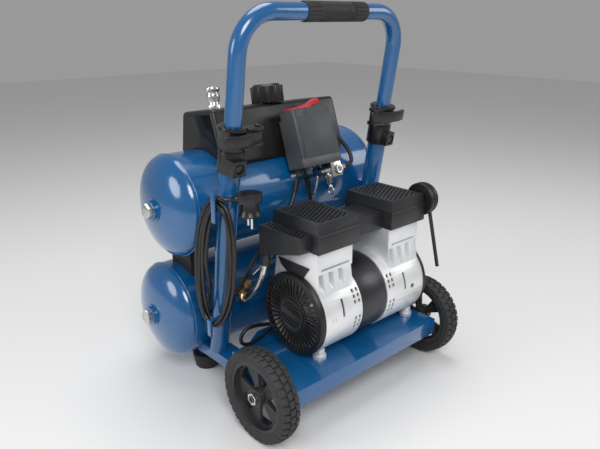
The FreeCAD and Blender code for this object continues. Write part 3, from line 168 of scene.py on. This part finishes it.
BLUE = powder_coat("powder_blue", (0.003, 0.095, 0.27), 0.2)
SATIN_BLACK = powder_coat("satin_black", (0.012, 0.012, 0.014), 0.35)
CASE_BLACK = moulded_plastic("case_black", (0.008, 0.008, 0.009), 0.36)
COVER_GREY = moulded_plastic("cover_grey", (0.018, 0.019, 0.021), 0.4)
SWITCH_GREY = moulded_plastic("switch_grey", (0.055, 0.057, 0.062), 0.42)
RIM_GREY = moulded_plastic("rim_grey", (0.022, 0.022, 0.024), 0.45)
CLAMP_BLACK = moulded_plastic("clamp_black", (0.012, 0.012, 0.013), 0.3)
RED = moulded_plastic("rocker_red", (0.55, 0.02, 0.02), 0.3, grain=300)
RUBBER = moulded_plastic("rubber", (0.014, 0.014, 0.015), 0.62, grain=700)
TYRE = moulded_plastic("tyre_rubber", (0.028, 0.028, 0.029), 0.7, grain=500)
CORD_PVC = moulded_plastic("cord_sheath", (0.008, 0.008, 0.009), 0.3, grain=400)
GRIP_FOAM = moulded_plastic("grip_rubber", (0.012, 0.012, 0.013), 0.55, grain=600)
DIAL_WHITE = moulded_plastic("dial_white", (0.8, 0.8, 0.78), 0.4, grain=200)
NEEDLE_RED = moulded_plastic("needle_red", (0.6, 0.06, 0.03), 0.35, grain=200)
CAST = cast_metal("cast_aluminium", (0.86, 0.87, 0.88), 0.4)
STATOR = brushed_metal("stator_steel", (0.075, 0.075, 0.08), 0.34, (900, 6, 6), metallic=0.85)
ZINC = brushed_metal("zinc_plate", (0.66, 0.66, 0.65), 0.26, (300, 300, 300))
NICKEL = brushed_metal("nickel", (0.76, 0.75, 0.72), 0.18, (500, 500, 500))
DARK_NICKEL = brushed_metal("dark_nickel", (0.32, 0.31, 0.29), 0.28, (500, 500, 500))
BRASS = brushed_metal("brass", (0.6, 0.42, 0.19), 0.28, (400, 400, 400))
TUBE_SILVER = brushed_metal("drawn_tube", (0.7, 0.69, 0.67), 0.24, (60, 60, 900))


# ---------------------------------------------------------------- camera, light and floor

def add_to_scene(name, data):
    thing = bpy.data.objects.new(name, data)
    bpy.context.scene.collection.objects.link(thing)
    return thing


def place_camera():
    camera = add_to_scene("camera", bpy.data.cameras.new("camera"))
    camera.location = CAMERA_PLACE_M
    camera.rotation_euler = (math.radians(90 - CAMERA_DOWN_DEG), 0, math.radians(CAMERA_HEADING_DEG))
    camera.data.sensor_width = CAMERA_SENSOR
    camera.data.lens = CAMERA_LENS
    bpy.context.scene.camera = camera


def lay_floor():
    mesh = bpy.data.meshes.new("floor")
    corners = [(x * FLOOR_REACH_M, y * FLOOR_REACH_M, 0) for x, y in ((-1, -1), (1, -1), (1, 1), (-1, 1))]
    mesh.from_pydata(corners, [], [(0, 1, 2, 3)])
    mesh.materials.append(new_material("floor_pale", (0.86, 0.86, 0.86), 0.0, 0.6)[0])
    add_to_scene("floor", mesh)


def light_studio():
    """Pale surroundings and four soft round lamps, aimed at the middle of the object."""
    world = bpy.data.worlds.new("studio")
    world.use_nodes = True
    background = world.node_tree.nodes["Background"]
    background.inputs["Color"].default_value = (1, 1, 1, 1)
    background.inputs["Strength"].default_value = SKY_STRENGTH
    bpy.context.scene.world = world
    bpy.context.scene.view_settings.view_transform = "Standard"

    # Name, place and width in metres, and power in watts.
    lamps = [("key", (-1.1, -1.5, 1.7), 1.1, 27), ("fill", (1.5, -1.2, 1.2), 1.0, 7),
             ("top", (0.1, 0.3, 2.2), 1.4, 17), ("side", (-1.9, 0.5, 0.9), 0.9, 9)]
    for name, place, width, power in lamps:
        data = bpy.data.lights.new(name, "AREA")
        data.shape = "DISK"
        data.size = width
        data.energy = power
        lamp = add_to_scene(name, data)
        lamp.location = place
        lamp.rotation_euler = (LAMP_AIM_M - Vector(place)).to_track_quat("-Z", "Y").to_euler()


place_camera()
lay_floor()
light_studio()


# ---------------------------------------------------------------- mesh helpers

@contextlib.contextmanager
def editing(mesh):
    """Opens a mesh for editing, and writes it back at the end."""
    shape = bmesh.new()
    shape.from_mesh(mesh)
    yield shape
    shape.to_mesh(mesh)
    shape.free()


def add_piece(name, mesh, material, body):
    """Puts a finished mesh in the scene, on a body."""
    thing = add_to_scene(name, mesh)
    mesh.materials.clear()
    mesh.materials.append(material)
    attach(thing, body)
    return thing


def smooth_by_angle(mesh, degrees):
    """Smooth faces, with sharp edges where the surface turns by more than the angle."""
    limit = math.radians(degrees)
    with editing(mesh) as shape:
        for face in shape.faces:
            face.smooth = True
        for edge in shape.edges:
            edge.smooth = edge.is_manifold and edge.calc_face_angle(0) < limit


def round_edges(thing, width, segments):
    """Applies a bevel to the edges where the surface turns by more than 32 degrees."""
    rounding = thing.modifiers.new("rounding", "BEVEL")
    rounding.width = width * MM
    rounding.segments = segments
    rounding.limit_method = "ANGLE"
    rounding.angle_limit = math.radians(32)
    rounding.use_clamp_overlap = True
    evaluated = thing.evaluated_get(bpy.context.evaluated_depsgraph_get())
    rounded = bpy.data.meshes.new_from_object(evaluated)
    thing.modifiers.clear()
    thing.data = rounded


def refined(node, material, rounding, segments=2):
    """Copies a CAD node's mesh and rounds its hard edges; the copy then stands for the node."""
    mesh = frame["nodes"][node].data.copy()
    mesh.name = "fine_" + node
    with editing(mesh) as shape:
        bmesh.ops.remove_doubles(shape, verts=shape.verts, dist=0.00001)
        if rounding:
            bmesh.ops.dissolve_limit(shape, angle_limit=math.radians(0.5), verts=shape.verts,
                                     edges=shape.edges)
    thing = add_piece("fine_" + node, mesh, material, NODE_BODY[node])
    if rounding:
        round_edges(thing, rounding, segments)
    smooth_by_angle(thing.data, 40)
    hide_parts(node)
    return thing


def node_middle(node):
    """Middle of a CAD node's box, in millimetres."""
    low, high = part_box(node)
    return (Vector(low) + Vector(high)) / 2 / MM


def ring_faces(rings, sides, closed=False):
    """Quads between rings of vertices in a row, and from the last ring to the first if closed."""
    faces = []
    for ring in range(rings if closed else rings - 1):
        next_ring = (ring + 1) % rings
        for index in range(sides):
            following = (index + 1) % sides
            faces.append((ring * sides + index, ring * sides + following,
                          next_ring * sides + following, next_ring * sides + index))
    return faces


def turned(name, profile, centre, axis, material, body, sides=96):
    """Solid of revolution; a profile point is its radius and its distance along the axis."""
    turn = Vector((0, 0, 1)).rotation_difference(Vector(axis)).to_matrix()
    vertices = []
    for radius, along in profile:
        for index in range(sides):
            angle = 2 * math.pi * index / sides
            local = Vector((radius * math.cos(angle), radius * math.sin(angle), along))
            vertices.append((Vector(centre) + turn @ local) * MM)
    mesh = bpy.data.meshes.new(name)
    mesh.from_pydata(vertices, [], ring_faces(len(profile), sides))
    with editing(mesh) as shape:
        bmesh.ops.remove_doubles(shape, verts=shape.verts, dist=0.000001)
        bmesh.ops.holes_fill(shape, edges=shape.edges, sides=0)
        bmesh.ops.recalc_face_normals(shape, faces=shape.faces)
    smooth_by_angle(mesh, 40)
    return add_piece(name, mesh, material, body)


def blocks_piece(name, blocks, material, body, rounding=0):
    """Many small blocks as one mesh; a block is the corner points of its two facing sides."""
    mesh = bpy.data.meshes.new(name)
    with editing(mesh) as shape:
        for lower, upper in blocks:
            low = [shape.verts.new(Vector(point) * MM) for point in lower]
            high = [shape.verts.new(Vector(point) * MM) for point in upper]
            shape.faces.new(low[::-1])
            shape.faces.new(high)
            for index in range(len(low)):
                following = (index + 1) % len(low)
                shape.faces.new((low[index], low[following], high[following], high[index]))
        bmesh.ops.recalc_face_normals(shape, faces=shape.faces)
        if rounding:
            bmesh.ops.bevel(shape, geom=shape.edges[:], offset=rounding * MM, segments=2,
                            affect="EDGES", profile=0.5, clamp_overlap=True)
    smooth_by_angle(mesh, 50)
    return add_piece(name, mesh, material, body)


# ---------------------------------------------------------------- rounded CAD nodes

# Material, width of the rounding on hard edges (0 for none), and the nodes that have them.
FINISHES = [
    (BLUE, 0.8, ["frame_tube_left", "frame_tube_right", "side_rails", "motor_platform"]),
    (BLUE, 0.0, ["tank_upper", "tank_lower", "handle_tube"]),
    (SATIN_BLACK, 0.4, ["axle"]),
    (STATOR, 0.4, ["stator_core"]),
    (ZINC, 0.4, ["axle_nuts", "tank_plugs", "manifold", "coupler_body", "coupler_sleeve",
                 "safety_ring"]),
    (TUBE_SILVER, 0.0, ["tank_link_pipe", "motor_rotor", "discharge_tube", "unloader_tube", "pistons"]),
    (BRASS, 0.4, ["drain_valve", "drain_screw", "check_valve", "regulator_body"]),
    (DARK_NICKEL, 0.4, ["safety_valve"]),
    (CAST, 1.0, ["crankcase_left", "crankcase_right", "motor_feet"]),
    (CLAMP_BLACK, 0.7, ["clamp_sleeve_left", "clamp_sleeve_right", "clamp_lever_left",
                        "clamp_lever_right", "clamp_bolts"]),
    (CASE_BLACK, 0.0, ["console_housing"]),
    (CASE_BLACK, 0.6, ["gauge_cases", "regulator_knob", "fan_cover_left", "fan_cover_right",
                       "intake_filter"]),
    (COVER_GREY, 0.8, ["head_cover_left", "head_cover_right", "muffler_box", "air_duct"]),
    (SWITCH_GREY, 0.8, ["switch_base", "switch_cover"]),
    (RIM_GREY, 0.8, ["rim_left", "rim_right"]),
    (RED, 0.8, ["switch_rocker"]),
    (NEEDLE_RED, 0.0, ["needle_tank", "needle_outlet"]),
    (RUBBER, 0.8, ["rubber_feet", "tank_spacers"]),
]

for finish_material, finish_rounding, finish_nodes in FINISHES:
    for finish_node in finish_nodes:
        refined(finish_node, finish_material, finish_rounding)


# ---------------------------------------------------------------- tyres

# One side wall from the rim to the tread, with two raised rings: radius and distance from the middle.
TYRE_WALL = [(61, -14), (62.5, -15.6), (65.5, -16.2), (66, -16.9), (68, -16.9), (68.5, -16.2),
             (71.5, -16.2), (72, -16.9), (74, -16.9), (76, -14.5), (76.6, -9)]
TREAD_PITCHES = 36
TREAD_EDGE = 16.8
TREAD_ROWS = ((-TREAD_EDGE, -6.6), (-4.8, 4.8), (6.6, TREAD_EDGE))
TREAD_GROOVE_SHARE = 0.24            # part of a pitch that is groove
TREAD_SLANT = 0.012                  # pitches per millimetre of width
TREAD_RADII = (75.0, 80.0)           # a block's foot, sunk in the tyre, and its top
SHOULDER_RADII = (73.5, 77.0)        # the same at the tread's edges


def tread_block(wheel_middle, row, position):
    """One block, at a position round the tyre in pitches, as the corners of its foot and its top."""
    start, end = row
    half = (1 - TREAD_GROOVE_SHARE) / 2
    slant = TREAD_SLANT if start * end > 0 else -TREAD_SLANT
    foot = []
    top = []
    for along, offset in ((start, -half), (end, -half), (end, half), (start, half)):
        angle = 2 * math.pi * (position + offset + slant * along) / TREAD_PITCHES
        radii = SHOULDER_RADII if abs(along) == TREAD_EDGE else TREAD_RADII
        for ring, radius in zip((foot, top), radii):
            ring.append(wheel_middle + Vector((along, radius * math.cos(angle), radius * math.sin(angle))))
    return foot, top


def tyre(side, node, body):
    """Solid tyre: ridged side walls and three staggered rows of tread blocks."""
    middle = node_middle(node)
    profile = TYRE_WALL + [(radius, -along) for radius, along in reversed(TYRE_WALL)] + TYRE_WALL[:1]
    carcass = turned("tread_base_" + body, profile, middle, (side, 0, 0), TYRE, body, sides=144)
    blocks = []
    for number, row in enumerate(TREAD_ROWS):
        stagger = 0.5 * (number % 2)
        blocks += [tread_block(middle, row, index + stagger) for index in range(TREAD_PITCHES)]
    tread = blocks_piece("tread_" + body, blocks, TYRE, body, rounding=0.6)
    with editing(carcass.data) as shape:
        shape.from_mesh(tread.data)
    bpy.data.objects.remove(tread)
    carcass.name = "fine_" + node
    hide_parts(node)


tyre(-1, "tyre_left", "wheel_left")
tyre(1, "tyre_right", "wheel_right")


# ---------------------------------------------------------------- handle grip

GRIP_HALF_LENGTH = 69.5
GRIP_STEP = 0.5
GRIP_SIDES = 112
GRIP_RADIUS = 16.1
GRIP_BORE = 14.0
GRIP_EDGE = 3.0                      # length and depth of the rounding at both ends
GRIP_EDGE_DEPTH = 1.1
RIBS_END = 37.0                      # distance from the middle where flutes take over from ribs
RIB_PITCH = 7.4
RIB_DEPTH = 1.3
FLUTES = 14
FLUTE_DEPTH = 1.2
FLUTE_FADE = 3.0                     # length over which a flute gets its full depth


def grip_radius(along, angle):
    """Moulded pattern: rounded ribs in the middle and lengthwise flutes towards both ends."""
    distance = abs(along)
    to_edge = GRIP_HALF_LENGTH - GRIP_EDGE - distance
    if to_edge < 0:
        rounding = math.sqrt(max(0.0, 1 - (to_edge / GRIP_EDGE) ** 2))
        return GRIP_RADIUS - GRIP_EDGE_DEPTH * (1 - rounding)
    if distance > RIBS_END:
        flute = max(0.0, math.cos(FLUTES * angle)) ** 3
        fade = min(1.0, (distance - RIBS_END) / FLUTE_FADE, to_edge / FLUTE_FADE)
        return GRIP_RADIUS - FLUTE_DEPTH * flute * fade
    return GRIP_RADIUS - RIB_DEPTH * max(0.0, math.cos(2 * math.pi * along / RIB_PITCH)) ** 2


def handle_grip():
    """Rubber sleeve as rings of points along the bar, closed through its bore."""
    middle = node_middle("handle_grip")
    angles = [2 * math.pi * index / GRIP_SIDES for index in range(GRIP_SIDES)]
    steps = round(2 * GRIP_HALF_LENGTH / GRIP_STEP)
    rings = []
    for index in range(steps + 1):
        along = -GRIP_HALF_LENGTH + GRIP_STEP * index
        rings.append((along, [grip_radius(along, angle) for angle in angles]))
    rings += [(along, [GRIP_BORE] * GRIP_SIDES) for along in (GRIP_HALF_LENGTH, -GRIP_HALF_LENGTH)]
    vertices = []
    for along, radii in rings:
        for angle, radius in zip(angles, radii):
            local = Vector((along, radius * math.cos(angle), radius * math.sin(angle)))
            vertices.append((middle + local) * MM)
    mesh = bpy.data.meshes.new("fine_handle_grip")
    mesh.from_pydata(vertices, [], ring_faces(len(rings), GRIP_SIDES, closed=True))
    with editing(mesh) as shape:
        bmesh.ops.recalc_face_normals(shape, faces=shape.faces)
    smooth_by_angle(mesh, 50)
    grip = add_piece("fine_handle_grip", mesh, GRIP_FOAM, "handle")
    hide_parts("handle_grip")


handle_grip()


# ---------------------------------------------------------------- black sleeves in the motor: painted shade behind the vents

# Painted shade: a black sleeve just inside each crankcase wall stands in for the dark depth behind its
# vents.
SHADE_SLEEVE_RADII = (69.3, 70.3)


def painted_shade_sleeve(name, start, end):
    """Black sleeve inside a crankcase: painted shade, so that its slots and vents look deep."""
    shaft = node_middle("motor_rotor")
    inner, outer = SHADE_SLEEVE_RADII
    length = end - start
    profile = [(inner, 0), (outer, 0), (outer, length), (inner, length), (inner, 0)]
    turned(name, profile, (start, shaft.y, shaft.z), (1, 0, 0), CASE_BLACK, "base")


painted_shade_sleeve("shade_sleeve_left", -76.0, -16.0)
painted_shade_sleeve("shade_sleeve_right", 57.0, 133.0)


# ---------------------------------------------------------------- gauge dials

USER_FACE_TOP = (156.5, 495.0)       # y and z of the console's sloping face, where the gauges are
USER_FACE_FOOT = (170.0, 400.0)
USER_LEAN = math.atan2(USER_FACE_FOOT[0] - USER_FACE_TOP[0], USER_FACE_TOP[1] - USER_FACE_FOOT[1])
GAUGE_X = 50.0
GAUGE_Z = 464.0
DIAL_RADII = (1.3, 18.9)             # the needle's hole and the rim
DIAL_FACES = (0.5, 0.75)             # back and front, above the console's face
TICKS = 31
TICK_OUTER_RADIUS = 17.6
TICK_FACES = (0.7, 0.85)


def scale_tick(number):
    """A tick's inner radius and half its width; each fifth one is longer and wider."""
    return (13.6, 0.45) if number % 5 == 0 else (15.4, 0.25)


def gauge_dial(name, x):
    """White dial with a scale of ticks round three quarters of its rim."""
    normal = Vector((0, math.cos(USER_LEAN), math.sin(USER_LEAN)))
    upward = Vector((0, -math.sin(USER_LEAN), math.cos(USER_LEAN)))
    across = Vector((-1, 0, 0))
    below_top = USER_FACE_TOP[1] - GAUGE_Z
    centre = Vector((x, USER_FACE_TOP[0] + below_top * math.tan(USER_LEAN), GAUGE_Z))
    hole, rim = DIAL_RADII
    back, front = DIAL_FACES
    turned(name + "_dial", [(hole, back), (rim, back), (rim, front), (hole, front), (hole, back)],
           centre, normal, DIAL_WHITE, "base", sides=64)
    ticks = []
    for number in range(TICKS):
        angle = math.radians(-225 + 270 * number / (TICKS - 1))
        outward = across * math.cos(angle) + upward * math.sin(angle)
        sideways = normal.cross(outward)
        inner, half = scale_tick(number)
        corners = [(inner, -half), (TICK_OUTER_RADIUS, -half), (TICK_OUTER_RADIUS, half), (inner, half)]
        ticks.append([[centre + outward * radius + sideways * side + normal * height
                       for radius, side in corners] for height in TICK_FACES])
    blocks_piece(name + "_scale", ticks, CASE_BLACK, "base")


gauge_dial("tank_gauge", -GAUGE_X)
gauge_dial("outlet_gauge", GAUGE_X)


# ---------------------------------------------------------------- mains plug

PIN_ROOT_Z = 359.5


def mains_plug():
    """Rounded plug; its faces below the pins' roots are bright metal."""
    plug = refined("mains_plug", CLAMP_BLACK, 1.2, segments=3)
    plug.data.materials.append(NICKEL)
    for face in plug.data.polygons:
        if face.center.z < PIN_ROOT_Z * MM:
            face.material_index = 1


mains_plug()


# ---------------------------------------------------------------- cords

CORD_RADIUS = 3.5
HOSE_RADIUS = 4.0
BOOT_RADII = (5.8, 4.0)

CONSOLE_HOSE = [(92, -26.8, 389.4), (113, -26.8, 389.4), (133, -10, 399), (139, 14, 420),
                (130, 38, 440)]
MOTOR_CABLE = [(6, -17, 379), (12, -20, 352), (15, -20, 312), (10, -16, 268), (0, -14, 222),
               (-14, -14, 176), (-44, -18, 136), (-84, -24, 112), (-122, -30, 101.5),
               (-152, -36, 101.5), (-175, -40, 114), (-172, -42, 136), (-148, -42, 142),
               (-112, -44, 132)]
MAINS_CORD = [(0, 4, 371), (-8, 0, 350), (-28, -5, 320), (-60, -8, 290), (-102, -5, 259),
              (-121, 6, 216), (-136, 24, 170), (-160, 34, 152), (-188, 30, 152), (-203, 14, 168),
              (-206, 3, 192), (-209, -7, 228)]
PLUG_LEAD = [(-213.5, -49, 391.5), (-214.3, -53.5, 391.5), (-209, -62.5, 390.3), (-196.6, -67, 390)]

# The hank's middle, and two level directions: across its plane to the rear, and inboard.
HANK_MIDDLE = Vector((-213.8, -30.5, 269.5))
HANK_ACROSS = Vector((-0.218, 0.976, 0))
HANK_INBOARD = Vector((0.976, 0.218, 0))
HANK_SKEW = 11.0

# Each strand's place across the plane, from the innermost turn outward.
REAR_STRANDS = (20.5, 27.5, 34.5, 41.5)
FRONT_STRANDS = (-29.0, -36.0, -43.0, -50.0)

# Each turn's fold over the upper or lower hook: its height from the middle, and how far inboard.
TOP_FOLDS = ((108.5, 3.6), (108.5, -3.6), (114.8, 0.0), (121.5, 0.0))
BOTTOM_FOLDS = ((105.5, 3.6), (105.5, -3.6), (111.8, 0.0))
POINTS_PER_HALF_TURN = 12
TURN_FULLNESS = 0.85                 # below 1, a turn is fuller than an ellipse


def hank_point(rear, front, fold, degrees):
    """One point of a half turn; degrees run from the rear strand over a fold to the front strand."""
    half_height, inboard = fold
    across = math.cos(math.radians(degrees))
    up = math.sin(math.radians(degrees))
    place = (rear + front) / 2 + (rear - front) / 2 * across - HANK_SKEW * up
    height = math.copysign(half_height * abs(up) ** TURN_FULLNESS, up)
    return (HANK_MIDDLE + HANK_ACROSS * place + HANK_INBOARD * (inboard * abs(up))
            + Vector((0, 0, height)))


def hank_points():
    """Three and a half turns, wound outward from the innermost rear strand."""
    step = 180 / POINTS_PER_HALF_TURN
    points = []
    for turn in range(3):
        for index in range(POINTS_PER_HALF_TURN):
            points.append(hank_point(REAR_STRANDS[turn], FRONT_STRANDS[turn], TOP_FOLDS[turn],
                                     index * step))
        for index in range(POINTS_PER_HALF_TURN):
            points.append(hank_point(REAR_STRANDS[turn + 1], FRONT_STRANDS[turn], BOTTOM_FOLDS[turn],
                                     180 + index * step))
    for index in range(POINTS_PER_HALF_TURN // 2 + 1):
        points.append(hank_point(REAR_STRANDS[3], FRONT_STRANDS[3], TOP_FOLDS[3], index * step))
    return points


def cord_curve(name, points, radius, material):
    """Smooth round cord along its control points."""
    curve = bpy.data.curves.new(name, "CURVE")
    curve.dimensions = "3D"
    curve.bevel_depth = radius * MM
    curve.bevel_resolution = 5
    curve.resolution_u = 6
    curve.use_fill_caps = True
    spline = curve.splines.new("NURBS")
    spline.points.add(len(points) - 1)
    for control, point in zip(spline.points, points):
        control.co = (point[0] * MM, point[1] * MM, point[2] * MM, 1)
    spline.order_u = 3
    spline.use_endpoint_u = True
    curve.materials.append(material)
    thing = add_to_scene(name, curve)
    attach(thing, "base")
    return thing


def cable_boot(name, route, length):
    """Tapered strain relief at the start of a cord's route, cut by three grooves 0.8 mm deep."""
    wide, narrow = BOOT_RADII
    sections = 4

    def outside(share, depth=0.0):
        return wide + (narrow - wide) * share - depth, length * share

    profile = [(narrow - 0.4, 0)]
    for index in range(sections):
        groove_start = (index + 0.72) / sections
        groove_end = (index + 1) / sections
        profile += [outside(index / sections), outside(groove_start)]
        if index < sections - 1:
            profile += [outside(groove_start, 0.8), outside(groove_end, 0.8)]
    profile += [(narrow - 0.3, length), (narrow - 0.6, length)]
    axis = (Vector(route[1]) - Vector(route[0])).normalized()
    turned(name, profile, route[0], axis, CORD_PVC, "base", sides=32)


mains_points = [Vector(point) for point in MAINS_CORD] + hank_points()
mains_points += [Vector(point) for point in PLUG_LEAD]
mains = cord_curve("fine_mains_cord", mains_points, CORD_RADIUS, CORD_PVC)
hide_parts("mains_cord", "cord_hank")
cable = cord_curve("fine_motor_cable", MOTOR_CABLE, CORD_RADIUS, CORD_PVC)
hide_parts("motor_cable")
hose = cord_curve("fine_console_hose", CONSOLE_HOSE, HOSE_RADIUS, RUBBER)
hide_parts("console_hose")

cable_boot("mains_boot", MAINS_CORD, 22)
cable_boot("motor_cable_boot", MOTOR_CABLE, 20)
